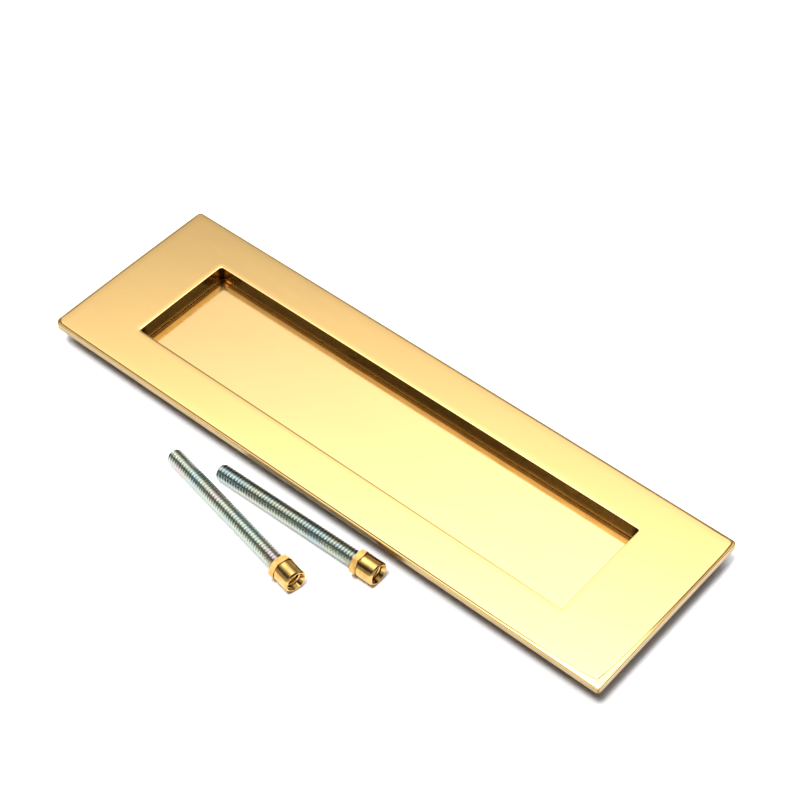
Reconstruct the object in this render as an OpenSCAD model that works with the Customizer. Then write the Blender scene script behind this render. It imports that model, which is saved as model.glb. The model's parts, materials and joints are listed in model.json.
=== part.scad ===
// Inward-opening letter plate with its two loose fixing studs and nuts.
// The plate's back has a raised border that sits on the door, in the plane z = 0.
// +Z points out of the door, +X along the slot and +Y towards the hinge.

/* [Face plate] */
// Length of the face plate
plate_w = 254; // [240:1:300]
// Height of the face plate
plate_h = 78; // [76:1:95]
// Thickness of the face plate
plate_t = 3.6; // [3:0.1:5]
// Radius of the plate's four corners
corner_r = 1.5; // [0.5:0.1:4]
// Width of the bevel round the plate's front edge
edge_bevel = 1; // [0.3:0.1:1.5]
// Width of the border that seats on the door, round the hollow back
border_w = 4; // [3:0.1:4.5]
// Depth of the hollow back
hollow_d = 1.2; // [0.8:0.1:1.4]

/* [Slot] */
// Length of the slot at the plate's face
slot_w = 197.5; // [180:0.5:210]
// Height of the slot at the plate's face
slot_h = 43.2; // [38:0.2:44]
// Radius of the slot's corners at the plate's face
slot_r = 0.8; // [0.2:0.1:3]
// Depth of the slot's wall, from the plate's front to the back of the rim
wall_depth = 6; // [5:0.1:6.5]
// How far the slot's wall leans, so that the slot widens towards the face, in degrees
slot_draft = 8; // [2:0.5:10]
// Height of the upright foot of the slot's wall
slot_foot = 1.6; // [1:0.1:2.4]
// Thickness of the rim behind the plate
rim_t = 2.2; // [1.5:0.1:2.6]

/* [Flap] */
// How far the flap laps past the slot's ends and its lower edge
flap_lap = 3.2; // [2:0.1:4]
// Thickness of the flap
flap_t = 3; // [2:0.1:3.2]
// Gap between the rim and the closed flap
flap_gap = 0.4; // [0.3:0.1:0.6]
// Diameter of the hinge pin
pin_d = 3; // [2.5:0.1:3.2]

/* [Fixings] */
// Distance between the two tapped bosses
boss_spacing = 226; // [222:1:234]
// Height of the bosses behind the plate
boss_h = 8; // [8:0.1:14]
// Outer diameter of a stud's thread
stud_d = 6.35; // [6:0.05:6.5]
// Pitch of the thread
pitch = 1.27; // [1:0.01:1.3]
// Length of a stud
stud_l = 70; // [50:1:90]
// Width of a nut's hexagonal flange across its flats
nut_af = 9; // [8.8:0.1:10]
// Diameter of a nut's sleeve
sleeve_d = 8.8; // [8.2:0.1:8.8]

/* [Hidden] */

brass = [0.86, 0.71, 0.38];
zinc = [0.70, 0.75, 0.72];
steel = [0.52, 0.53, 0.55];
$fn = 64;
eps = 0.01;

// levels behind the plate
rim_back = plate_t - wall_depth;
flap_front = rim_back - flap_gap;
flap_back = flap_front - flap_t;
rest_z = -boss_h;
// where the rim, bosses and lugs run into the plate
root_z = (hollow_d + plate_t) / 2;

// hinge
lug_r = 3.1;
lug_t = 5;
lug_x = 93;
knuckle_r = 2.9;
knuckle_w = 12.7;
side_play = 0.3;
pin_r = pin_d / 2;
hinge_z = rest_z + lug_r;
hinge_y = slot_h / 2 + 6.4;
lug_play = 0.02;
turn_play = 0.05;
head_r = 2.3;
head_t = 1;
head_play = 0.05;

// flap outline: it stops short of the knuckles, and arms join it to them
flap_low_y = -slot_h / 2 - flap_lap;
flap_high_y = slot_h / 2 + 2.4;
flap_w = slot_w + 2 * flap_lap;
flap_h = flap_high_y - flap_low_y;
flap_bevel = 0.4;
flap_corner_r = 1.5;

// springs
wire_d = 0.9;
coils = 12;
coil_r = 2.3;
spring_end_x = 79.5;
leg_play = 0.1;
plate_leg_angle = 60;
flap_leg_y = 15;

// bosses
boss_r = 6;
tap_r = 2.6;
tap_depth = boss_h + 1.4;
tap_bevel = 0.5;

// stud threads, as grooves one pitch apart
thread_depth = 0.61 * pitch;
crest_w = pitch / 4;
stud_r = stud_d / 2;
tip_bevel = 1;

// nuts
flange_t = 2.5;
groove_w = 0.4;
groove_depth = 0.35;
nut_l = 9.5;
nut_bevel = 0.5;
nut_bore_r = stud_r + 0.05;
nut_at = 64.5;

// the studs lie beside the plate: each rests on its tip and on a flat of its nut's flange
stud_tilt = atan((nut_af - stud_d) / 2 / (nut_at - tip_bevel));
stud_tip_z = rest_z + stud_r / cos(stud_tilt) - tip_bevel * tan(stud_tilt);
stud_left_place = [-52, -52.5, -11];
stud_right_place = [-34, -47, 0.6];

module rounded_rect(w, h, r) {
    square([w - 2 * r, h], center = true);
    square([w, h - 2 * r], center = true);
    for (sx = [-1, 1], sy = [-1, 1])
        translate([sx * (w / 2 - r), sy * (h / 2 - r)])
            circle(r);
}

// a strip of section width w and height t, bevelled by b along its top edges, running along X
module bevelled_strip(run, w, t, b) {
    rotate([90, 0, 90])
        translate([0, 0, -run / 2])
            linear_extrude(run)
                polygon([[-w / 2, 0], [w / 2, 0], [w / 2, t - b], [w / 2 - b, t],
                         [b - w / 2, t], [-w / 2, t - b]]);
}

// a strip of section width w at its foot, which widens by b on both sides up to height t, running along X
module flared_strip(run, w, t, b) {
    rotate([90, 0, 90])
        translate([0, 0, -run / 2])
            linear_extrude(run)
                polygon([[-w / 2, 0], [w / 2, 0], [w / 2 + b, t], [-w / 2 - b, t]]);
}

// a flat slab on z = 0 with round corners and a bevelled top edge
module slab(w, h, t, r, b) {
    intersection() {
        linear_extrude(t)
            rounded_rect(w, h, r);
        bevelled_strip(w + 2, h, t, b);
        rotate([0, 0, 90])
            bevelled_strip(h + 2, w, t, b);
    }
}

module along_x(x0, x1) {
    translate([x0, 0, 0])
        rotate([90, 0, 90])
            linear_extrude(x1 - x0)
                children();
}

module lug() {
    along_x(lug_x, lug_x + lug_t) {
        translate([hinge_y, hinge_z])
            circle(lug_r);
        translate([hinge_y - lug_r, hinge_z])
            square([2 * lug_r, root_z - hinge_z]);
    }
}

module hinge_bore(r, x0, x1) {
    translate([x0, hinge_y, hinge_z])
        rotate([0, 90, 0])
            cylinder(r = r, h = x1 - x0);
}

module tapped_hole() {
    translate([0, 0, rest_z - eps])
        cylinder(r = tap_r, h = tap_depth + eps);
    translate([0, 0, rest_z - eps])
        cylinder(r1 = tap_r + tap_bevel, r2 = tap_r, h = tap_bevel);
}

// the slot: upright at its foot, and then widening on all sides up to the face and past it
module slot_cut() {
    slope = tan(slot_draft);
    lean = (wall_depth - slot_foot) * slope;
    w = slot_w - 2 * lean;
    h = slot_h - 2 * lean;
    r = max(0.1, slot_r - lean);
    rise = wall_depth - slot_foot + 1;
    translate([0, 0, rim_back - 1])
        linear_extrude(slot_foot + 1)
            rounded_rect(w, h, r);
    translate([0, 0, rim_back + slot_foot]) {
        flared_strip(w - 2 * r, h, rise, rise * slope);
        rotate([0, 0, 90])
            flared_strip(h - 2 * r, w, rise, rise * slope);
        for (sx = [-1, 1], sy = [-1, 1])
            translate([sx * (w / 2 - r), sy * (h / 2 - r), 0])
                cylinder(r1 = r, r2 = r + rise * slope, h = rise);
    }
}

module face_plate() {
    color(brass)
        difference() {
            union() {
                difference() {
                    slab(plate_w, plate_h, plate_t, corner_r, edge_bevel);
                    translate([0, 0, -1])
                        linear_extrude(hollow_d + 1)
                            rounded_rect(plate_w - 2 * border_w, plate_h - 2 * border_w, corner_r);
                }
                translate([0, 0, rim_back])
                    linear_extrude(root_z - rim_back)
                        rounded_rect(slot_w + 2 * rim_t, slot_h + 2 * rim_t, slot_r + rim_t);
                for (s = [-1, 1])
                    translate([s * boss_spacing / 2, 0, rest_z])
                        cylinder(r = boss_r, h = root_z - rest_z);
                lug();
                mirror([1, 0, 0])
                    lug();
            }
            slot_cut();
            for (s = [-1, 1])
                translate([s * boss_spacing / 2, 0, 0])
                    tapped_hole();
            hinge_bore(pin_r + lug_play, -plate_w / 2, plate_w / 2);
        }
}

// one of the flap's two knuckles and the arm that joins it to the flap
module knuckle() {
    outer_x = lug_x - side_play;
    along_x(outer_x - knuckle_w, outer_x) {
        translate([hinge_y, hinge_z])
            circle(knuckle_r);
        translate([flap_high_y - 1, flap_back])
            square([hinge_y - flap_high_y + 1, flap_t]);
    }
}

module flap() {
    color(brass)
        difference() {
            union() {
                translate([0, (flap_low_y + flap_high_y) / 2, flap_back])
                    slab(flap_w, flap_h, flap_t, flap_corner_r, flap_bevel);
                knuckle();
                mirror([1, 0, 0])
                    knuckle();
            }
            hinge_bore(pin_r + turn_play, -lug_x, lug_x);
        }
}

module hinge_pin() {
    end_x = lug_x + lug_t + head_play;
    color(steel) {
        hinge_bore(pin_r, -end_x - head_t, end_x + head_t);
        hinge_bore(head_r, end_x, end_x + head_t);
        hinge_bore(head_r, -end_x - head_t, -end_x);
    }
}

// one leg, which leaves the coil's circle at a tangent and rises at an angle to the flat below it
module spring_leg(angle, l) {
    rotate([angle, 0, 0])
        translate([0, 0, -coil_r])
            rotate([-90, 0, 0])
                cylinder(d = wire_d, h = l, $fn = 24);
}

// a torsion spring's coils, as a ridged sleeve round the pin, with a plain collar at each end where a leg
// leaves: one leg pushes on the plate's hollow back and the other on the back of the flap
module spring(side) {
    coil_l = coils * wire_d;
    collar_w = 1.5 * wire_d;
    leg_x = (coil_l - collar_w) / 2;
    inner_r = coil_r - 0.55 * wire_d;
    ridge_r = coil_r + 0.55 * wire_d;
    valley_r = coil_r + wire_d / 4;
    ridges = [for (i = [2 : coils - 2], e = [[valley_r, 0], [ridge_r, 0.5]])
                 [e[0], (i + e[1] - 0.5) * wire_d - coil_l / 2]];
    reach = wire_d / 2 + leg_play;
    rise = hollow_d - reach - hinge_z + coil_r * cos(plate_leg_angle);
    drop = coil_r - (hinge_z - flap_back) - reach;
    translate([side * (spring_end_x - coil_l / 2), hinge_y, hinge_z]) {
        rotate([90, 0, 90])
            rotate_extrude()
                polygon(concat([[inner_r, -coil_l / 2], [ridge_r, -coil_l / 2],
                                [ridge_r, collar_w - coil_l / 2]], ridges,
                               [[valley_r, coil_l / 2 - collar_w], [ridge_r, coil_l / 2 - collar_w],
                                [ridge_r, coil_l / 2], [inner_r, coil_l / 2]]));
        translate([-side * leg_x, 0, 0])
            spring_leg(plate_leg_angle, rise / sin(plate_leg_angle));
        translate([side * leg_x, 0, 0])
            mirror([0, 1, 0])
                spring_leg(atan(drop / flap_leg_y), flap_leg_y);
    }
}

module spring_left() {
    color(steel)
        spring(-1);
}

module spring_right() {
    color(steel)
        spring(1);
}

// puts a shape made along +X, from the stud's tip, where the stud lies
module on_stud(place) {
    translate([place[0], place[1], stud_tip_z])
        rotate([0, -stud_tilt, place[2]])
            children();
}

module along_stud() {
    rotate([0, 90, 0])
        children();
}

// the thread's crests and roots from one end bevel to the other
function thread_points() =
    let (turns = floor((stud_l - 2 * tip_bevel) / pitch))
    [for (i = [0 : turns - 1], e = [[0, 0], [crest_w, 0], [pitch / 2 + crest_w / 2, thread_depth]])
        [stud_r - e[1], tip_bevel + i * pitch + e[0]]];

module stud(place) {
    color(zinc)
        on_stud(place)
            along_stud()
                rotate_extrude()
                    polygon(concat([[0, 0], [stud_r - tip_bevel, 0]], thread_points(),
                                   [[stud_r, stud_l - tip_bevel], [stud_r - tip_bevel, stud_l],
                                    [0, stud_l]]));
}

// a round sleeve with a hexagonal flange on the end that faces the stud's tip
module nut(place) {
    color(brass)
        on_stud(place)
            translate([nut_at, 0, 0])
                along_stud()
                    difference() {
                        union() {
                            rotate([0, 0, 90])
                                cylinder(d = nut_af / cos(30), h = flange_t, $fn = 6);
                            rotate_extrude()
                                polygon([[0, flange_t / 2], [sleeve_d / 2 - groove_depth, flange_t / 2],
                                         [sleeve_d / 2 - groove_depth, flange_t + groove_w],
                                         [sleeve_d / 2, flange_t + groove_w],
                                         [sleeve_d / 2, nut_l - nut_bevel],
                                         [sleeve_d / 2 - nut_bevel, nut_l], [0, nut_l]]);
                        }
                        translate([0, 0, -1])
                            cylinder(r = nut_bore_r, h = nut_l + 2);
                    }
}

module stud_left() {
    stud(stud_left_place);
}

module stud_right() {
    stud(stud_right_place);
}

module nut_left() {
    nut(stud_left_place);
}

module nut_right() {
    nut(stud_right_place);
}

face_plate();
flap();
hinge_pin();
spring_left();
spring_right();
stud_left();
stud_right();
nut_left();
nut_right();
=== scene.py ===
"""A brass letter plate with a recessed, sprung flap, and its two loose fixing studs and nuts.

Sizes are in millimetres, in the CAD model's frame: +X along the slot, +Y towards the hinge,
and +Z out of the door, with the origin at the slot's centre in the plane that sits on the door.
"""
import json
import math

import bmesh
import bpy
import numpy as np
from mathutils import Matrix, Vector


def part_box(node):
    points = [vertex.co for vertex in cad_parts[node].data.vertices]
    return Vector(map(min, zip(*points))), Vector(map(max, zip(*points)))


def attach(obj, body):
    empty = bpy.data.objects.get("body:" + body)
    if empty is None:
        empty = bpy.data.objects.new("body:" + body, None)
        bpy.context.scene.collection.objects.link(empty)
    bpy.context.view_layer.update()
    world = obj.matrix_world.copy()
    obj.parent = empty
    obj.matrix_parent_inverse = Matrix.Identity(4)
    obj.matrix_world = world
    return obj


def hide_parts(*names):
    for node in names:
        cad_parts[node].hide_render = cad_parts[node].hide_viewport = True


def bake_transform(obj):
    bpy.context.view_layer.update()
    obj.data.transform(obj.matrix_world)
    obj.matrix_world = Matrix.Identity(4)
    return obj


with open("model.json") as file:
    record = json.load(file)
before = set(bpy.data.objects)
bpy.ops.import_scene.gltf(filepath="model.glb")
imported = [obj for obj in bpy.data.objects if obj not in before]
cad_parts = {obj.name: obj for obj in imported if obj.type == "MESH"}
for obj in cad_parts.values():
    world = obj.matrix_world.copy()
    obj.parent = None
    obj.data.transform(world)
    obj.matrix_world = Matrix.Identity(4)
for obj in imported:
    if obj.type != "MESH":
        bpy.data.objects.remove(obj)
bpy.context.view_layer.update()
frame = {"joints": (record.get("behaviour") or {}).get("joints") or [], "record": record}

MM = 0.001
TAU = 2 * math.pi


def box_mm(node):
    """A CAD node's box, as its low and high corners in millimetres."""
    low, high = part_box(node)
    return np.array(low) / MM, np.array(high) / MM


def joint(name):
    return next(j for j in frame["joints"] if j["name"] == name)


def mount(name):
    return next(m for m in frame["record"]["mounts"] if m["name"] == name)


# ---------------------------------------------------------------- sizes

plate_low, plate_high = box_mm("face_plate")
flap_low, flap_high = box_mm("flap")
pin_high = box_mm("hinge_pin")[1]

# The plate. Its back is hollow inside a border, and bosses and lugs reach up into it to ROOT_Z.
REST_Z = plate_low[2]
FACE_Z = plate_high[2]
PLATE = plate_high[:2] - plate_low[:2]
PLATE_CORNERS = np.array([1.5, 1.5, 2.6, 1.5])
LEAST_CORNER_R = 0.8
BORDER_W = 4.0
HOLLOW_Z = 1.2
ROOT_Z = 2.4
ROOT_R = 0.8
LUG_ROOT_R = 0.6

# The slot, from the roll round its mouth to the back of its rim.
SLOT = np.array([197.5, 43.2])
SLOT_R = 0.8
SLOT_EDGE_R = 0.7
SLOT_EDGE_TURN = math.radians(45)
CRISP_EDGE_R = 0.25
WORN_EDGE_R = 0.95
SLOT_DRAFT = math.radians(8)
SLOT_FOOT = 1.6
ROLL_W = 1.8
ROLL_DROP = 0.03
SLOT_BRINK_Z = FACE_Z - ROLL_DROP - SLOT_EDGE_R * (1 - math.cos(SLOT_EDGE_TURN))
RIM_BACK = FACE_Z - 6.0
RIM_T = 2.2
EDGE_SOFT = 0.25

# The plate's outer edge: a stepped bevel, wider along two sides and at one worn corner.
BEVEL_W = 0.75
FAR_BEVEL_W = 1.1
WORN_W = 2.0
WORN_REACH = 16.0
BEVEL_DROP = 0.42
NOSE = 0.5
STEP = 0.25
CROWN_R = 2200.0
UNDERCUT = 0.25
# The height of the rounded back edge of the plate's side, whose faces are painted near-black as
# shade.
SHADE_STRIP_H = 0.35

# The hinge.
HINGE_Y, HINGE_Z = np.array(joint("flap_hinge")["pos_m"][1:]) / MM
LUG_R = 3.1
LUG_X = 93.0
LUG_T = 5.0
KNUCKLE_R = 2.9
KNUCKLE_W = 12.7
KNUCKLE_END = LUG_X - 0.3
PIN_R = 1.5
PIN_PLAY = 0.02
TURN_PLAY = 0.05
PIN_HEAD_R = 2.3
PIN_HEAD_T = 1.0

# The flap.
FLAP_FRONT = RIM_BACK - 0.4
FLAP_T = 3.0
FLAP_BACK = FLAP_FRONT - FLAP_T
FLAP_TOP_Y = SLOT[1] / 2 + 2.4
FLAP_LOW_Y = flap_low[1]
FLAP_W = flap_high[0] - flap_low[0]
FLAP_CORNER_R = 1.5
FLAP_EDGE_R = 0.4

# The springs. COIL_ENDS is where the wire leaves the coil for the plate and for the flap.
WIRE_R = 0.45
COIL_R = 2.3
COIL_TURNS = 10
COIL_ENDS = (69.375, 78.825)
PLATE_LEG_ANGLE = math.radians(60)
FLAP_LEG = 15.0
LEG_PLAY = 0.1

# The bosses and their tapped holes.
BOSS_R = 6.0
BOSS_X = abs(mount("stud_hole_right")["pos_m"][0]) / MM
TAP_R = mount("stud_hole_right")["dims"]["r_mm"]
TAP_DEPTH = -REST_Z + 1.4

# The studs and nuts. NUT_AT is where a nut's flange starts, measured from the stud's tip.
STUD_R = 3.175
PITCH = 1.27
STUD_L = 70.0
THREAD_DEPTH = 0.61 * PITCH
NUT_THREAD_DEPTH = THREAD_DEPTH - 0.15
TIP_BEVEL = 1.0
NUT_AT = 64.5
NUT_L = 9.5
NUT_AF = 9.0
FLANGE_T = 2.5
SLEEVE_R = 4.4
NUT_BEVEL = 0.5
NUT_MOUTH_R = 3.6
NUT_MOUTH_DEPTH = 2.2
GROOVE_W = 0.4
GROOVE_DEPTH = 0.35
THREAD_PLAY = 0.05

STUD_TILT = math.atan((NUT_AF / 2 - STUD_R) / (NUT_AT - TIP_BEVEL))
STUD_TIP_Z = REST_Z + STUD_R / math.cos(STUD_TILT) - TIP_BEVEL * math.tan(STUD_TILT)
STUD_TIPS = {"left": (-52.0, -52.5), "right": (-34.0, -47.0)}


# ---------------------------------------------------------------- meshes

def new_piece(name, points, faces):
    """An object from points in millimetres, with its faces turned outwards."""
    mesh = bpy.data.meshes.new(name)
    mesh.from_pydata((np.asarray(points, float) * MM).tolist(), [], faces)
    mesh.validate()
    shape = bmesh.new()
    shape.from_mesh(mesh)
    if shape.calc_volume(signed=True) < 0:
        bmesh.ops.reverse_faces(shape, faces=shape.faces)
        shape.to_mesh(mesh)
    shape.free()
    mesh.update()
    piece = bpy.data.objects.new(name, mesh)
    bpy.context.scene.collection.objects.link(piece)
    return piece


def skin(name, rings, close=False):
    """A closed surface through rings of as many points. With close, the last joins the first."""
    count = len(rings[0])
    rows = len(rings) if close else len(rings) - 1
    faces = []
    for j in range(rows):
        a = j * count
        b = (j + 1) % len(rings) * count
        for i in range(count):
            k = (i + 1) % count
            faces.append((a + i, a + k, b + k, b + i))
    if not close:
        last = (len(rings) - 1) * count
        faces.append(tuple(reversed(range(count))))
        faces.append(tuple(last + i for i in range(count)))
    return new_piece(name, np.concatenate(rings), faces)


def bake_modifiers(piece):
    """Makes what the modifiers do part of the mesh."""
    bpy.context.view_layer.update()
    shown = piece.evaluated_get(bpy.context.evaluated_depsgraph_get())
    mesh = bpy.data.meshes.new_from_object(shown)
    piece.modifiers.clear()
    piece.data = mesh


def join_or_cut(piece, tool, operation):
    """An exact boolean, after which the tool is gone."""
    step = piece.modifiers.new("step", "BOOLEAN")
    step.solver = "MANIFOLD"
    step.operation = operation
    step.object = tool
    bake_modifiers(piece)
    bpy.data.objects.remove(tool)
    return piece


def join(piece, *tools):
    for tool in tools:
        join_or_cut(piece, tool, "UNION")
    return piece


def cut(piece, *tools):
    for tool in tools:
        join_or_cut(piece, tool, "DIFFERENCE")
    return piece


def keep_inside(piece, tool):
    return join_or_cut(piece, tool, "INTERSECT")


def finish_surface(piece, name, body, replaced, sharp=35):
    """Smooth shading with crisp edges and flat faces, and the piece's place in the frame."""
    piece.modifiers.new("large_faces_to_triangles", "TRIANGULATE").min_vertices = 5
    bake_modifiers(piece)
    mesh = piece.data
    mesh.shade_smooth()
    mesh.set_sharp_from_angle(angle=math.radians(sharp))
    weights = piece.modifiers.new("flat_faces_stay_flat", "WEIGHTED_NORMAL")
    weights.keep_sharp = True
    weights.mode = "FACE_AREA"
    piece.name = name
    mesh.name = name
    if body:
        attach(piece, body)
    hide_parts(replaced)
    return piece


def round_rect(size, r, z, corner=8, along=(40, 14), centre=(0, 0)):
    """A ring round a rectangle with round corners, with as many points at every size.

    r may differ from corner to corner, starting at +X +Y and going round towards -X.
    """
    half = np.array(size) / 2
    arcs = []
    for quarter, radius in enumerate(np.broadcast_to(r, 4)):
        side = np.array([1 if quarter in (0, 3) else -1, 1 if quarter in (0, 1) else -1])
        angles = math.pi / 2 * (quarter + np.linspace(0, 1, corner + 1))
        turn = np.column_stack([np.cos(angles), np.sin(angles)])
        arcs.append(side * (half - radius) + radius * turn)
    points = []
    for quarter, arc in enumerate(arcs):
        steps = along[quarter % 2]
        run = arcs[(quarter + 1) % 4][0] - arc[-1]
        points += list(arc) + [arc[-1] + run * i / steps for i in range(1, steps)]
    ring = np.array(points) + np.array(centre)
    return np.column_stack([ring, np.full(len(ring), float(z))])


def circle(r, sides):
    """(y, z) points round a circle."""
    return [(r * math.cos(TAU * i / sides), r * math.sin(TAU * i / sides)) for i in range(sides)]


def quarter_turn(steps):
    """(cos, sin) pairs over a quarter of a circle."""
    angles = [math.pi / 2 * i / steps for i in range(steps + 1)]
    return [(math.cos(a), math.sin(a)) for a in angles]


def lathe(name, profile, sides=64):
    """A solid of revolution round X from (x, radius) points, closed on the axis at both ends."""
    points = [(profile[0][0], 0, 0)]
    for x, r in profile:
        points += [(x, y, z) for y, z in circle(r, sides)]
    points.append((profile[-1][0], 0, 0))
    faces = []
    for j in range(len(profile) - 1):
        a = 1 + j * sides
        b = a + sides
        for i in range(sides):
            k = (i + 1) % sides
            faces.append((a + i, b + i, b + k, a + k))
    last = 1 + (len(profile) - 1) * sides
    for i in range(sides):
        k = (i + 1) % sides
        faces.append((0, 1 + i, 1 + k))
        faces.append((len(points) - 1, last + k, last + i))
    return new_piece(name, points, faces)


def place(piece, matrix):
    """Moves the mesh, and leaves the object's own origin at the frame's."""
    piece.data.transform(matrix)
    return piece


def x_to_z(x, y):
    """Turns a shape made along +X to point along +Z, at a place in the plane."""
    return Matrix.Translation(Vector((x, y, 0)) * MM) @ Matrix.Rotation(-math.pi / 2, 4, "Y")


def extruded(name, outline, x0, x1, bevel=0.3):
    """A solid along X from a ring of (y, z) points, with a small bevel round each end."""
    outline = np.array(outline, float)
    ahead = np.roll(outline, -1, axis=0) - outline
    behind = outline - np.roll(outline, 1, axis=0)
    ahead /= np.linalg.norm(ahead, axis=1, keepdims=True)
    behind /= np.linalg.norm(behind, axis=1, keepdims=True)
    normal = ahead + behind
    normal = np.column_stack([normal[:, 1], -normal[:, 0]])
    normal /= np.linalg.norm(normal, axis=1, keepdims=True)
    small = outline - normal * bevel
    rings = [np.column_stack([np.full(len(p), x), p])
             for x, p in ((x0, small), (x0 + bevel, outline), (x1 - bevel, outline), (x1, small))]
    return skin(name, rings)


def threaded_rod(name, outer_r, x0, x1, sides=48, depth=THREAD_DEPTH):
    """A true helical vee thread round X. The turns line up on every rod, whatever its radius."""
    profile = [(0, 0), (1 / 8, 0), (0.48, depth), (0.563, depth * 1.06), (0.645, depth)]
    first = math.floor(x0 / PITCH) - 1
    turns = math.ceil(x1 / PITCH) + 2 - first
    rows = [(first + t + phase, outer_r - sink) for t in range(turns) for phase, sink in profile]
    per_turn = len(profile)
    points = [((turn + i / sides) * PITCH, y, z)
              for turn, r in rows for i, (y, z) in enumerate(circle(r, sides))]
    faces = []
    last = len(rows) - 1
    for j in range(last):
        for i in range(sides - 1):
            a = j * sides + i
            faces.append((a, a + sides, a + sides + 1, a + 1))
        if j + per_turn < last:
            a = j * sides + sides - 1
            b = (j + per_turn) * sides
            faces.append((a, a + sides, b + sides, b))
    low_end, high_end = len(points), len(points) + 1
    points += [((first - 0.5) * PITCH, 0, 0), ((first + turns + 1.5) * PITCH, 0, 0)]
    start = list(range(sides)) + [j * sides for j in range(per_turn, 0, -1)]
    for a, b in zip(start, start[1:] + start[:1]):
        faces.append((low_end, a, b))
    stop = [last * sides + i for i in range(sides)]
    stop = [(last - j) * sides + sides - 1 for j in range(per_turn, 0, -1)] + list(reversed(stop))
    for a, b in zip(stop, stop[1:] + stop[:1]):
        faces.append((high_end, a, b))
    return new_piece(name, points, faces)


def on_hinge(piece):
    return place(piece, Matrix.Translation(Vector((0, HINGE_Y, HINGE_Z)) * MM))


def hinge_bore(x0, x1, r):
    """A tool that bores a lug or a knuckle from x0 to x1 along the hinge's axis."""
    return on_hinge(lathe("bore", [(x0 - 1, r), (x1 + 1, r)], 48))


# ---------------------------------------------------------------- face plate

def bevel_width():
    """How far in from each point of the outline the bevel reaches."""
    ring = round_rect(PLATE, PLATE_CORNERS, 0)
    half = PLATE / 2
    worn = np.exp(-np.hypot(ring[:, 0] - half[0], ring[:, 1] + half[1]) / WORN_REACH)
    far = np.maximum(np.clip(ring[:, 1] / half[1], 0, 1) ** 12,
                     np.clip(-ring[:, 0] / half[0], 0, 1) ** 40)
    return BEVEL_W + (FAR_BEVEL_W - BEVEL_W) * far + WORN_W * worn


def build_plate_body():
    """The plate without its bosses and lugs: rings from the back border round the outer edge,
    over the face, down the slot's wall and back across the hollow."""
    reach = BEVEL_W + WORN_W + 1
    outline = round_rect(PLATE, PLATE_CORNERS, 0)[:, :2]
    inward = (round_rect(PLATE - 2 * reach, 0.5, 0)[:, :2] - outline) / reach
    width = bevel_width()

    def border(inset, z):
        return round_rect(PLATE - 2 * inset, np.maximum(PLATE_CORNERS - inset, LEAST_CORNER_R), z)

    def edge(inset, drop):
        flat = outline + inward * np.broadcast_to(inset, len(outline))[:, None]
        return np.column_stack([flat, np.full(len(flat), FACE_Z - drop)])

    def slot(grow, z):
        return round_rect(SLOT + 2 * grow, SLOT_R + grow, z)

    rings = [border(BORDER_W, EDGE_SOFT), border(BORDER_W - EDGE_SOFT, 0),
             border(UNDERCUT + 0.2, 0)]
    rings += [border(UNDERCUT * (1 - s), 0.1 + SHADE_STRIP_H * (1 - c)) for c, s in quarter_turn(6)]
    rings += [edge(NOSE * (1 - c), BEVEL_DROP + NOSE * (1 - s)) for c, s in quarter_turn(6)]
    rings += [edge(NOSE + (width - NOSE) * u, STEP + (BEVEL_DROP - STEP) * (1 - u) ** 1.15)
              for u in (0.25, 0.5, 0.75, 1)]
    rings += [edge(width + STEP * 0.7, STEP * 0.15), edge(width + STEP * 1.5, 0)]
    rings.append(border(reach + 0.5, FACE_Z))
    rings += [border(reach + 0.5 + (PLATE[1] - SLOT[1]) / 2 * s, FACE_Z) for s in (0.2, 0.4)]
    mouth = slot(0, 0)[:, :2]
    outward = slot(1, 0)[:, :2] - mouth
    along, up = mouth[:, 0] / SLOT[0] * 2, mouth[:, 1] / SLOT[1] * 2
    crisp = np.maximum(np.clip(-up, 0, 1) ** 4, np.clip(along, 0, 1) ** 40)
    near_r = CRISP_EDGE_R + WORN_EDGE_R * ((1 - along) / 2) ** 0.7
    edge_r = SLOT_EDGE_R + crisp * (near_r - SLOT_EDGE_R)
    edge_w = edge_r * math.sin(SLOT_EDGE_TURN)

    def slot_edge(grow, drop):
        height = FACE_Z - np.broadcast_to(drop, len(mouth))
        return np.column_stack([mouth + outward * grow[:, None], height])

    rings += [slot_edge(edge_w + ROLL_W * (1 - u), ROLL_DROP * u * u) for u in np.linspace(0, 1, 7)]
    for turn in np.linspace(0, SLOT_EDGE_TURN, 6)[1:]:
        drop = ROLL_DROP + edge_r * (1 - math.cos(turn))
        rings.append(slot_edge(edge_w - edge_r * math.sin(turn), drop))
    foot = RIM_BACK + SLOT_FOOT
    lean = -(FACE_Z - foot) * math.tan(SLOT_DRAFT)
    rings += [slot(lean * s, SLOT_BRINK_Z + (foot - SLOT_BRINK_Z) * s) for s in (0.5, 0.96)]
    rings += [slot(lean, foot - 0.1), slot(lean, RIM_BACK + EDGE_SOFT + 0.2)]
    rings += [slot(lean + EDGE_SOFT * (1 - c), RIM_BACK + EDGE_SOFT * (1 - s))
              for c, s in quarter_turn(3)]
    rings += [slot(RIM_T - EDGE_SOFT * (1 - s), RIM_BACK + EDGE_SOFT * (1 - c))
              for c, s in quarter_turn(3)]
    rings += [slot(RIM_T + ROOT_R * (1 - c), HOLLOW_Z - ROOT_R * (1 - s))
              for c, s in quarter_turn(4)]
    rings += [border(BORDER_W + ROOT_R * (1 - s), HOLLOW_Z - ROOT_R * (1 - c))
              for c, s in quarter_turn(4)]
    for ring in rings:
        above = np.clip((ring[:, 2] - HOLLOW_Z) / (FACE_Z - HOLLOW_Z), 0, 1)
        ring[:, 2] -= above * ring[:, 1] ** 2 / (2 * CROWN_R)
    return skin("face_plate_mesh", rings, close=True)


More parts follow.
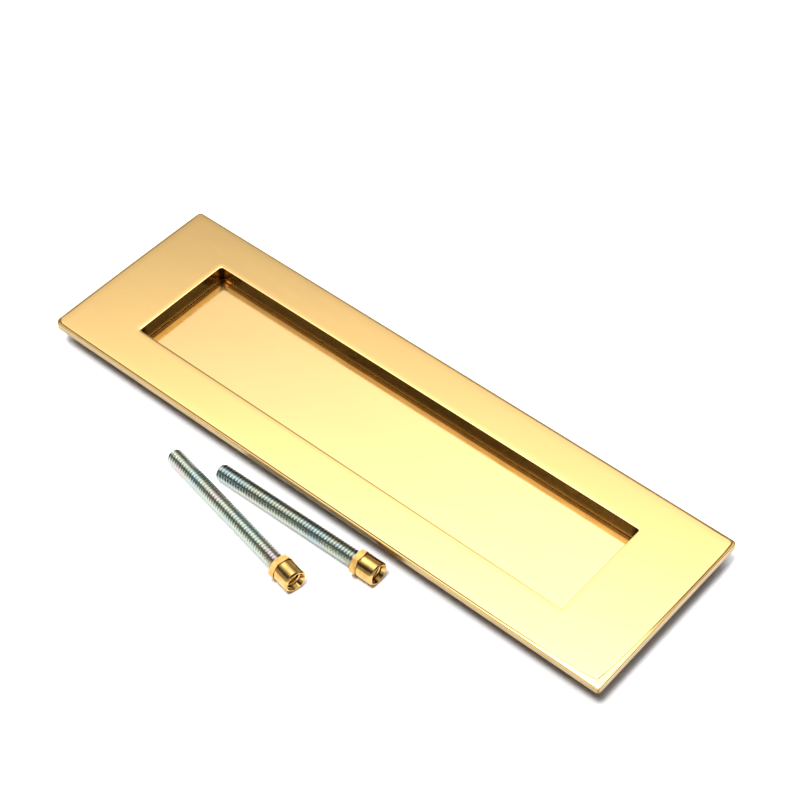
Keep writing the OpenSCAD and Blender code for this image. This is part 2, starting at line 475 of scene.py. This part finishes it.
def build_face_plate():
    plate = build_plate_body()

    for side in (-1, 1):
        flare = [(HOLLOW_Z - ROOT_R * (1 - s), BOSS_R + ROOT_R * (1 - c))
                 for c, s in quarter_turn(4)]
        profile = [(REST_Z, BOSS_R - 0.4), (REST_Z + 0.4, BOSS_R)]
        profile += flare + [(ROOT_Z, BOSS_R + ROOT_R)]
        join(plate, place(lathe("boss", profile, 96), x_to_z(side * BOSS_X, 0)))

    bottom = [(HINGE_Y + LUG_R * math.cos(a), HINGE_Z + LUG_R * math.sin(a))
              for a in (math.pi + math.pi * i / 32 for i in range(33))]
    flare = [(LUG_R + LUG_ROOT_R * (1 - c), HOLLOW_Z - LUG_ROOT_R * (1 - s))
             for c, s in quarter_turn(4)]
    right = [(HINGE_Y + y, z) for y, z in flare] + [(HINGE_Y + LUG_R + LUG_ROOT_R, ROOT_Z)]
    left = [(2 * HINGE_Y - y, z) for y, z in reversed(right)]
    for side in (-1, 1):
        x0, x1 = sorted((side * LUG_X, side * (LUG_X + LUG_T)))
        join(plate, extruded("lug", bottom + right + left, x0, x1))
        cut(plate, hinge_bore(x0, x1, PIN_R + PIN_PLAY))

    bottom_z = REST_Z + TAP_DEPTH
    drill_r = TAP_R - 0.05
    for side in (-1, 1):
        drill = [(REST_Z - 0.5, TAP_R + 1.0), (REST_Z + 0.5, drill_r), (bottom_z, drill_r)]
        cut(plate, place(lathe("drill", drill, 48), x_to_z(side * BOSS_X, 0)))
        tap = threaded_rod("tap", STUD_R, REST_Z - 1, bottom_z)
        reach = [(REST_Z - 2, STUD_R), (bottom_z - 1.5, STUD_R), (bottom_z - 0.9, TAP_R - 0.3)]
        keep_inside(tap, lathe("reach", reach, 48))
        cut(plate, place(tap, x_to_z(side * BOSS_X, 0)))
    return plate


# ---------------------------------------------------------------- flap, pin and springs

def build_flap():
    middle = (0, (FLAP_TOP_Y + FLAP_LOW_Y) / 2)
    size = np.array([FLAP_W, FLAP_TOP_Y - FLAP_LOW_Y])
    r = FLAP_EDGE_R

    def ring(inset, z):
        return round_rect(size - 2 * inset, FLAP_CORNER_R - inset, z, centre=middle)

    rings = [ring(r * (1 - s), FLAP_BACK + r * (1 - c)) for c, s in quarter_turn(3)]
    rings += [ring(r * (1 - c), FLAP_FRONT - r * (1 - s)) for c, s in quarter_turn(4)]
    flap = skin("flap_mesh", rings)

    start = math.pi + math.asin((HINGE_Z - FLAP_BACK) / KNUCKLE_R)
    stop = 3 * math.pi - math.asin((FLAP_FRONT - HINGE_Z) / KNUCKLE_R)
    outline = [(HINGE_Y + KNUCKLE_R * math.cos(a), HINGE_Z + KNUCKLE_R * math.sin(a))
               for a in np.linspace(start, stop, 49)]
    outline += [(FLAP_TOP_Y - 1, FLAP_FRONT), (FLAP_TOP_Y - 1, FLAP_BACK)]
    for side in (-1, 1):
        x0, x1 = sorted((side * (KNUCKLE_END - KNUCKLE_W), side * KNUCKLE_END))
        join(flap, extruded("knuckle", outline, x0, x1, bevel=0.25))
        cut(flap, hinge_bore(x0, x1, PIN_R + TURN_PLAY))
    return flap


def build_hinge_pin():
    end = pin_high[0]
    under = end - PIN_HEAD_T
    dome = [(under + 0.25 + (PIN_HEAD_T - 0.25) * s, PIN_HEAD_R * (0.25 + 0.75 * c))
            for c, s in quarter_turn(6)]
    half = [(under, PIN_R), (under, PIN_HEAD_R - 0.15), (under + 0.15, PIN_HEAD_R)] + dome
    profile = [(-x, r) for x, r in reversed(half)] + half
    return on_hinge(lathe("hinge_pin_mesh", profile, 48))


def spring_route(side):
    """The wire's centre line: from the plate's hollow back, round the coil and along the flap."""
    reach = WIRE_R + LEG_PLAY
    rise = HOLLOW_Z - reach - HINGE_Z + COIL_R * math.cos(PLATE_LEG_ANGLE)
    plate_leg = rise / math.sin(PLATE_LEG_ANGLE)
    drop = COIL_R - (HINGE_Z - FLAP_BACK) - reach
    flap_angle = math.atan(drop / FLAP_LEG)
    first = PLATE_LEG_ANGLE - math.pi / 2
    last = -math.pi / 2 - flap_angle - COIL_TURNS * TAU
    centre = np.array([0, HINGE_Y, HINGE_Z])
    x0, x1 = COIL_ENDS

    def on_coil(a, x):
        return centre + np.array([side * x, COIL_R * math.cos(a), COIL_R * math.sin(a)])

    count = 36 * COIL_TURNS
    coil = [on_coil(first + (last - first) * i / count, x0 + (x1 - x0) * i / count)
            for i in range(count + 1)]
    out = np.array([0, math.cos(PLATE_LEG_ANGLE), math.sin(PLATE_LEG_ANGLE)])
    back = np.array([0, -math.cos(flap_angle), math.sin(flap_angle)])
    plate_side = [coil[0] + out * plate_leg * s for s in (1, 0.75, 0.5, 0.25)]
    flap_side = [coil[-1] + back * FLAP_LEG * s for s in (0.2, 0.4, 0.6, 0.8, 1)]
    return np.array(plate_side + coil + flap_side)


def tube(name, route, r, sides=14):
    """A round wire along a route, with its ends cut square and slightly softened."""
    along = np.gradient(route, axis=0)
    along /= np.linalg.norm(along, axis=1, keepdims=True)
    across = np.cross(along, [1.0, 0, 0])
    across /= np.linalg.norm(across, axis=1, keepdims=True)
    third = np.cross(along, across)
    rings = []
    for i, point in enumerate(route):
        rings.append(np.array([point + y * across[i] + z * third[i] for y, z in circle(r, sides)]))
    soft = 0.2 * r
    ends = []
    for i, sign in ((0, -1), (-1, 1)):
        ends.append(route[i] + (rings[i] - route[i]) * 0.8)
        rings[i] = rings[i] - sign * along[i] * soft
    return skin(name, [ends[0]] + rings + [ends[1]])


# ---------------------------------------------------------------- studs and nuts

def build_stud():
    rod = threaded_rod("stud_mesh", STUD_R, 0, STUD_L)
    body = [(0, STUD_R - TIP_BEVEL), (TIP_BEVEL, STUD_R), (STUD_L - TIP_BEVEL, STUD_R),
            (STUD_L, STUD_R - TIP_BEVEL)]
    return keep_inside(rod, lathe("envelope", body, 96))


def build_nut():
    """A nut along +X whose flange faces the stud's tip, with its mouth at the other end."""
    flat_r = NUT_AF / 2
    corner_r = flat_r / math.cos(math.pi / 6)
    hexagon = circle(corner_r, 6)
    nut = skin("nut_mesh", [np.array([(x, y, z) for y, z in hexagon]) for x in (0.0, FLANGE_T)])
    corner_cut = corner_r - flat_r
    chamfer = [(0, flat_r - 0.1), (corner_cut * 0.7, corner_r + 0.1),
               (FLANGE_T - corner_cut * 0.5, corner_r + 0.1), (FLANGE_T, flat_r + 0.1)]
    keep_inside(nut, lathe("chamfer", chamfer, 96))
    groove_r = SLEEVE_R - GROOVE_DEPTH
    sleeve = [(FLANGE_T / 2, groove_r), (FLANGE_T + GROOVE_W, groove_r),
              (FLANGE_T + GROOVE_W + 0.05, SLEEVE_R),
              (NUT_L - NUT_BEVEL, SLEEVE_R), (NUT_L, SLEEVE_R - NUT_BEVEL)]
    join(nut, lathe("sleeve", sleeve, 96))
    core_r = STUD_R - THREAD_DEPTH
    drill = [(-1, TAP_R + 1.6), (0.8, core_r), (NUT_L - NUT_MOUTH_DEPTH, core_r),
             (NUT_L, NUT_MOUTH_R), (NUT_L + 1, NUT_MOUTH_R + 0.5)]
    cut(nut, lathe("drill", drill, 64))
    place(nut, Matrix.Translation(Vector((NUT_AT, 0, 0)) * MM))
    ends = NUT_AT - 2, NUT_AT + NUT_L + 2
    cut(nut, threaded_rod("tap", STUD_R + THREAD_PLAY, *ends, depth=NUT_THREAD_DEPTH))
    return nut


def stud_place(side):
    """Where a stud lies: its tip, and the way that its nut's joint points."""
    x, y = STUD_TIPS[side]
    along = -Vector(joint(f"nut_{side}_travel")["axis"])
    yaw = math.atan2(along.y, along.x)
    turn = Matrix.Rotation(yaw, 4, "Z") @ Matrix.Rotation(-STUD_TILT, 4, "Y")
    return Matrix.Translation(Vector((x, y, STUD_TIP_Z)) * MM) @ turn


# ---------------------------------------------------------------- materials

class Graph:
    """A node tree, with short ways to add to it."""

    def __init__(self, owner, kind):
        owner.use_nodes = True
        self.tree = owner.node_tree
        self.main = next(n for n in self.tree.nodes if n.type == kind)

    def node(self, kind, **settings):
        made = self.tree.nodes.new(kind)
        for key, value in settings.items():
            setattr(made, key, value)
        return made

    def wire(self, value, socket):
        """Sets a socket to a number, or to a colour, or links another node's output to it."""
        if isinstance(value, bpy.types.NodeSocket):
            self.tree.links.new(value, socket)
        elif isinstance(value, tuple):
            socket.default_value = (*value, 1)
        else:
            socket.default_value = value

    def math(self, operation, a, b):
        node = self.node("ShaderNodeMath", operation=operation)
        self.wire(a, node.inputs[0])
        self.wire(b, node.inputs[1])
        return node.outputs[0]

    def fit(self, value, low, high, to_low, to_high):
        """value eased from low..high to to_low..to_high, and held at both ends."""
        node = self.node("ShaderNodeMapRange", interpolation_type="SMOOTHSTEP")
        sockets = ("Value", "From Min", "From Max", "To Min", "To Max")
        for socket, number in zip(sockets, (value, low, high, to_low, to_high)):
            self.wire(number, node.inputs[socket])
        return node.outputs["Result"]


class Look(Graph):
    """A metal. Its patterns are sized in millimetres, in the frame or along a piece's own place."""

    def __init__(self, name, colour, rough, at=None):
        self.material = bpy.data.materials.new(name)
        super().__init__(self.material, "BSDF_PRINCIPLED")
        self.wire(1, self.main.inputs["Metallic"])
        self.wire(colour, self.main.inputs["Base Color"])
        self.wire(rough, self.main.inputs["Roughness"])
        position = self.node("ShaderNodeTexCoord").outputs["Object"]
        if at:
            local = self.node("ShaderNodeMapping", vector_type="TEXTURE")
            local.inputs["Location"].default_value = at.translation
            local.inputs["Rotation"].default_value = at.to_euler()
            self.wire(position, local.inputs["Vector"])
            position = local.outputs[0]
        self.mm = self.node("ShaderNodeVectorMath", operation="SCALE")
        self.wire(1 / MM, self.mm.inputs["Scale"])
        self.wire(position, self.mm.inputs[0])

    def noise(self, size, detail=2.0, stretch=(1, 1, 1), shift=0.0):
        """Noise whose features are about size across, longer along an axis that is stretched."""
        mapping = self.node("ShaderNodeMapping")
        mapping.inputs["Location"].default_value = (shift, shift * 0.7, shift * 1.3)
        mapping.inputs["Scale"].default_value = [1 / (size * s) for s in stretch]
        self.wire(self.mm.outputs[0], mapping.inputs["Vector"])
        noise = self.node("ShaderNodeTexNoise")
        self.wire(1.0, noise.inputs["Scale"])
        self.wire(detail, noise.inputs["Detail"])
        self.wire(0.55, noise.inputs["Roughness"])
        self.wire(mapping.outputs[0], noise.inputs["Vector"])
        return noise.outputs["Fac"]

    def axis(self, index):
        parts = self.node("ShaderNodeSeparateXYZ")
        self.wire(self.mm.outputs[0], parts.inputs[0])
        return parts.outputs[index]

    def mix(self, amount, a, b):
        mix = self.node("ShaderNodeMix", data_type="RGBA")
        self.wire(amount, mix.inputs[0])
        self.wire(a, mix.inputs[6])
        self.wire(b, mix.inputs[7])
        return mix.outputs[2]

    def stained(self, pattern, clean, stained):
        """One colour that turns into another where a noise pattern is high."""
        return self.mix(self.fit(pattern, 0.35, 0.7, 0, 1), clean, stained)

    def paint(self, colour):
        self.wire(colour, self.main.inputs["Base Color"])

    def rough(self, value):
        self.wire(value, self.main.inputs["Roughness"])

    def bump(self, *heights):
        """heights are (height, depth in millimetres) pairs, laid over each other."""
        below = None
        for height, depth in heights:
            bump = self.node("ShaderNodeBump")
            self.wire(1.0, bump.inputs["Strength"])
            self.wire(depth * MM, bump.inputs["Distance"])
            self.wire(height, bump.inputs["Height"])
            if below:
                self.wire(below, bump.inputs["Normal"])
            below = bump.outputs["Normal"]
        self.wire(below, self.main.inputs["Normal"])


def polished_brass(name, colour):
    """The face and the flap: a faint haze, polishing swirls and fine lines along X."""
    look = Look(name, colour, 0.1)
    haze = look.noise(34, 3, (2.2, 1, 1))
    lines = look.noise(0.5, 3, (60, 1, 1), shift=9)
    swirls = look.noise(2.4, 4, (5, 1, 1), shift=4)
    look.paint(look.stained(haze, colour, tuple(0.975 * c for c in colour)))
    smudge = look.fit(haze, 0.4, 0.75, 0.10, 0.15)
    look.rough(look.math("ADD", smudge, look.fit(swirls, 0.35, 0.75, 0, 0.05)))
    look.bump((look.noise(40, 1, (2, 1, 1), shift=2), 0.06), (lines, 0.0006))
    return look.material


def wall_brass():
    """The slot's wall: brass darker and redder than the face's, partly a duller finish and partly
    painted shade of the recess, with near-black painted shade in its corners, and duller towards
    +X.
    """
    look = Look("brass_slot_wall", (0.79, 0.58, 0.32), 0.12)
    grain = look.noise(0.7, 4, (6, 6, 1))
    haze = look.noise(14, 2, (1, 1, 0.4), shift=5)
    # The wall's brass is darker and redder than the face's: partly its duller finish, partly
    # painted shade of the recess.
    colour = look.mix(look.fit(haze, 0.3, 0.7, 0, 1), (0.78, 0.52, 0.20), (0.66, 0.42, 0.14))
    # Painted shade: near-black colour in the slot's corners, where both walls meet.
    near_x, near_y = (look.fit(look.math("ABSOLUTE", look.axis(i), 0),
                               SLOT[i] / 2 - 3.5, SLOT[i] / 2 - 0.8, 0, 1) for i in (0, 1))
    corner_shade = look.math("MULTIPLY", near_x, near_y)
    look.paint(look.mix(corner_shade, colour, (0.12, 0.06, 0.02)))
    worn = look.fit(look.axis(0), 0, SLOT[0] / 2, 0, 0.1)
    look.rough(look.math("ADD", worn, look.fit(grain, 0.3, 0.75, 0.07, 0.12)))
    look.bump((grain, 0.004))
    return look.material


def shaded_side_brass():
    """The plate's side: filed and hardly polished, and painted shade, its brass far darker than the
    face's.
    """
    # Painted shade: this base colour, far below the face's brass, dims the side's reflection of the
    # floor.
    look = Look("brass_side_painted_shade", (0.42, 0.32, 0.16), 0.26)
    lines = look.noise(0.35, 3, (12, 12, 1), shift=2)
    stain = look.noise(9, 3, shift=8)
    look.paint(look.stained(stain, (0.45, 0.345, 0.18), (0.38, 0.285, 0.14)))
    look.rough(look.fit(lines, 0.3, 0.75, 0.22, 0.36))
    look.bump((lines, 0.01))
    return look.material


def edge_shade_brass():
    """Painted shade: a near-black strip at the back edge of the plate's side, standing in for the
    shadow under the plate's edge.
    """
    look = Look("brass_edge_painted_shade", (0.06, 0.03, 0.01), 0.5)
    stain = look.noise(4, 4, shift=12)
    look.paint(look.stained(stain, (0.075, 0.038, 0.012), (0.045, 0.022, 0.007)))
    look.rough(look.fit(stain, 0.3, 0.7, 0.42, 0.6))
    look.bump((look.noise(0.4, 4), 0.02))
    return look.material


def cast_brass():
    """The unpolished back of the plate and of the flap, as it left the sand."""
    look = Look("brass_as_cast", (0.38, 0.25, 0.11), 0.5)
    sand = look.noise(0.55, 5)
    lumps = look.noise(3.5, 3, shift=3)
    stain = look.noise(22, 4, shift=7)
    colour = look.stained(stain, (0.42, 0.28, 0.12), (0.28, 0.17, 0.08))
    look.paint(look.mix(look.fit(sand, 0.3, 0.6, 0, 1), (0.20, 0.12, 0.06), colour))
    look.rough(look.fit(sand, 0.3, 0.75, 0.62, 0.42))
    look.bump((lumps, 0.18), (sand, 0.07))
    return look.material


def zinc_plate(name, shift, at):
    """The studs' bright zinc, with a film that drifts from blue to green and pink."""
    look = Look(name, (0.50, 0.56, 0.53), 0.22, at)
    film = look.noise(7, 3, (1.6, 1, 1), shift=shift)
    grain = look.noise(0.35, 4, shift=shift + 2)
    cool = look.mix(look.fit(film, 0.35, 0.55, 0, 1), (0.46, 0.54, 0.54), (0.52, 0.56, 0.47))
    look.paint(look.mix(look.fit(film, 0.55, 0.72, 0, 1), cool, (0.57, 0.51, 0.50)))
    look.rough(look.fit(grain, 0.3, 0.75, 0.16, 0.28))
    look.bump((grain, 0.008))
    return look.material


def turned_brass(name, shift, at):
    """The nuts: fine turning marks round their axis."""
    look = Look(name, (0.74, 0.54, 0.24), 0.14, at)
    rings = look.noise(0.16, 2, (1, 40, 40), shift=shift)
    stain = look.noise(3.5, 3, shift=shift + 1)
    look.paint(look.stained(stain, (0.80, 0.51, 0.17), (0.60, 0.34, 0.10)))
    look.rough(look.fit(rings, 0.3, 0.7, 0.08, 0.17))
    look.bump((rings, 0.004))
    return look.material


def drawn_steel(name, colour, rough):
    """The pin and the springs: drawing lines along X and dark stains."""
    look = Look(name, colour, rough)
    lines = look.noise(0.2, 3, (30, 1, 1))
    stain = look.noise(5, 3, shift=6)
    look.paint(look.stained(stain, colour, tuple(c * 0.72 for c in colour)))
    look.rough(look.fit(lines, 0.3, 0.7, rough - 0.06, rough + 0.1))
    look.bump((lines, 0.003))
    return look.material


def coat(piece, *materials, choose=None):
    """Gives each face the material that choose(centre in millimetres, normal) picks."""
    piece.data.materials.clear()
    for material in materials:
        piece.data.materials.append(material)
    if choose:
        for face in piece.data.polygons:
            face.material_index = choose(face.center / MM, face.normal)


# ---------------------------------------------------------------- the object

PLATE_POLISHED, PLATE_WALL, PLATE_SIDE, PLATE_CAST, PLATE_EDGE_SHADE = range(5)
FLAP_POLISHED, FLAP_CAST = range(2)


def coat_on_plate(centre, normal):
    x, y, z = centre
    if abs(x) < SLOT[0] / 2 + 0.1 and abs(y) < SLOT[1] / 2 + 0.1:
        return PLATE_POLISHED if normal.z > 0.5 else PLATE_WALL
    if z > HOLLOW_Z + 0.5 and normal.z > 0.1:
        return PLATE_POLISHED
    if max(abs(x) - PLATE[0] / 2, abs(y) - PLATE[1] / 2) > -UNDERCUT:
        # Painted shade on the side: its lowest strip near-black, the rest in darkened brass.
        return PLATE_EDGE_SHADE if z < SHADE_STRIP_H + 0.1 else PLATE_SIDE
    return PLATE_CAST


def coat_on_flap(centre, normal):
    return FLAP_POLISHED if normal.z > 0.2 and centre.y < FLAP_TOP_Y else FLAP_CAST


brass = polished_brass("brass_polished", (0.955, 0.625, 0.245))
flap_brass = polished_brass("brass_flap", (0.97, 0.665, 0.285))
cast = cast_brass()

face_plate = build_face_plate()
coat(face_plate, brass, wall_brass(), shaded_side_brass(), cast, edge_shade_brass(), choose=coat_on_plate)
finish_surface(face_plate, "plate_casting", "plate", "face_plate")

flap = build_flap()
coat(flap, flap_brass, cast, choose=coat_on_flap)
finish_surface(flap, "flap_panel", "flap", "flap")

hinge_pin = build_hinge_pin()
coat(hinge_pin, drawn_steel("steel_pin", (0.52, 0.52, 0.53), 0.24))
finish_surface(hinge_pin, "hinge_pin_rod", "plate", "hinge_pin")

spring_steel = drawn_steel("steel_spring", (0.42, 0.43, 0.45), 0.3)
for side, name in ((-1, "spring_left"), (1, "spring_right")):
    spring = tube(name + "_mesh", spring_route(side), WIRE_R)
    coat(spring, spring_steel)
    finish_surface(spring, name + "_wire", None, name)
    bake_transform(spring)

for number, side in enumerate(("left", "right")):
    at = stud_place(side)
    stud = place(build_stud(), at)
    coat(stud, zinc_plate(f"zinc_plate_{side}", 3 + 11 * number, at))
    finish_surface(stud, f"stud_{side}_rod", f"stud_{side}", f"stud_{side}")
    nut = place(build_nut(), at)
    coat(nut, turned_brass(f"brass_turned_{side}", 5 + 13 * number, at))
    finish_surface(nut, f"nut_{side}_turned", f"nut_{side}", f"nut_{side}", sharp=25)


# ---------------------------------------------------------------- stage, light and camera

FLOOR_R = 4000.0


def build_floor():
    """A round pale floor at the height that everything rests on, as a fan and rings of squares."""
    rings, sides = 5, 96
    points = [(0, 0, REST_Z)]
    for j in range(1, rings + 1):
        points += [(x, y, REST_Z) for x, y in circle(FLOOR_R * (j / rings) ** 2, sides)]
    faces = [(0, 1 + i, 1 + (i + 1) % sides) for i in range(sides)]
    for j in range(rings - 1):
        a = 1 + j * sides
        b = a + sides
        faces += [(a + i, b + i, b + (i + 1) % sides, a + (i + 1) % sides) for i in range(sides)]
    floor = new_piece("floor", points, faces)
    material = bpy.data.materials.new("pale_floor")
    graph = Graph(material, "BSDF_PRINCIPLED")
    graph.wire((0.93, 0.93, 0.94), graph.main.inputs["Base Color"])
    graph.wire(0.7, graph.main.inputs["Roughness"])
    graph.wire(0.2, graph.main.inputs["Specular IOR Level"])
    coat(floor, material)


# Each light in the world is a glow round a direction: where it is, its peak and how fast it falls.
SOFTBOX = (Vector((-0.15, 0.2, 0.97)), 4.9, 11.5)
SPOT = (Vector((-0.01, -0.27, 0.96)), 60.0, 120.0)
GLINT = (Vector((0.27, -0.36, 0.89)), 3.6, 120.0)

# The backdrop as the camera sees it, and the room's walls and ceiling below and above LOW_SKY
# and HIGH_SKY, the sine of the elevation. The metal reflects brighter walls than light the table.
BACKDROP = 0.98
REFLECTED_WALLS = 0.46
SHADING_WALLS = 0.03
CEILING = 0.02
LOW_SKY = 0.25
HIGH_SKY = 0.6


def build_light():
    """A wide soft light overhead, one that only lights and one that only glints on the metal."""
    world = bpy.data.worlds.new("studio")
    bpy.context.scene.world = world
    graph = Graph(world, "BACKGROUND")
    graph.wire((1, 1, 1), graph.main.inputs["Color"])

    direction = graph.node("ShaderNodeTexCoord").outputs["Generated"]
    parts = graph.node("ShaderNodeSeparateXYZ")
    graph.wire(direction, parts.inputs[0])
    rays = graph.node("ShaderNodeLightPath")

    reflected = rays.outputs["Is Glossy Ray"]
    walls = graph.fit(reflected, 0, 1, SHADING_WALLS, REFLECTED_WALLS)
    total = graph.fit(parts.outputs["Z"], LOW_SKY, HIGH_SKY, walls, CEILING)
    not_reflected = graph.math("SUBTRACT", 1.0, reflected)
    for (centre, peak, fall), seen in ((SOFTBOX, 1.0), (SPOT, not_reflected), (GLINT, reflected)):
        towards = graph.node("ShaderNodeVectorMath", operation="DOT_PRODUCT")
        graph.wire(direction, towards.inputs[0])
        towards.inputs[1].default_value = centre.normalized()
        away = graph.math("SUBTRACT", towards.outputs["Value"], 1.0)
        glow = graph.math("EXPONENT", graph.math("MULTIPLY", away, fall), 0.0)
        shown = graph.math("MULTIPLY", graph.math("MULTIPLY", glow, peak), seen)
        total = graph.math("ADD", total, shown)
    strength = graph.fit(rays.outputs["Is Camera Ray"], 0, 1, total, BACKDROP)
    graph.wire(strength, graph.main.inputs["Strength"])


CAMERA_AT = (0.319232, -0.351914, 0.551541)
CAMERA_AZIMUTH = math.radians(41.288)
CAMERA_ELEVATION = math.radians(48.378)
CAMERA_ROLL = -0.0160773
CAMERA_LENS = 91.64
CAMERA_SENSOR = 36


def build_camera():
    """The camera looks from CAMERA_AZIMUTH, anticlockwise from -Y, and CAMERA_ELEVATION."""
    right = Vector((math.cos(CAMERA_AZIMUTH), math.sin(CAMERA_AZIMUTH), 0))
    level_back = Vector((math.sin(CAMERA_AZIMUTH), -math.cos(CAMERA_AZIMUTH), 0))
    back = math.cos(CAMERA_ELEVATION) * level_back
    back.z = math.sin(CAMERA_ELEVATION)
    up = back.cross(right)
    turned_right = math.cos(CAMERA_ROLL) * right + math.sin(CAMERA_ROLL) * up
    turned_up = math.cos(CAMERA_ROLL) * up - math.sin(CAMERA_ROLL) * right
    data = bpy.data.cameras.new("camera")
    data.sensor_width = CAMERA_SENSOR
    data.lens = CAMERA_LENS
    data.clip_start = 0.01
    data.clip_end = 50
    camera = bpy.data.objects.new("camera", data)
    camera.matrix_world = Matrix((turned_right, turned_up, back)).transposed().to_4x4()
    camera.location = CAMERA_AT
    bpy.context.scene.collection.objects.link(camera)
    bpy.context.scene.camera = camera


build_floor()
build_light()
build_camera()
bpy.context.scene.view_settings.view_transform = "Standard"
bpy.context.scene.view_settings.look = "None"
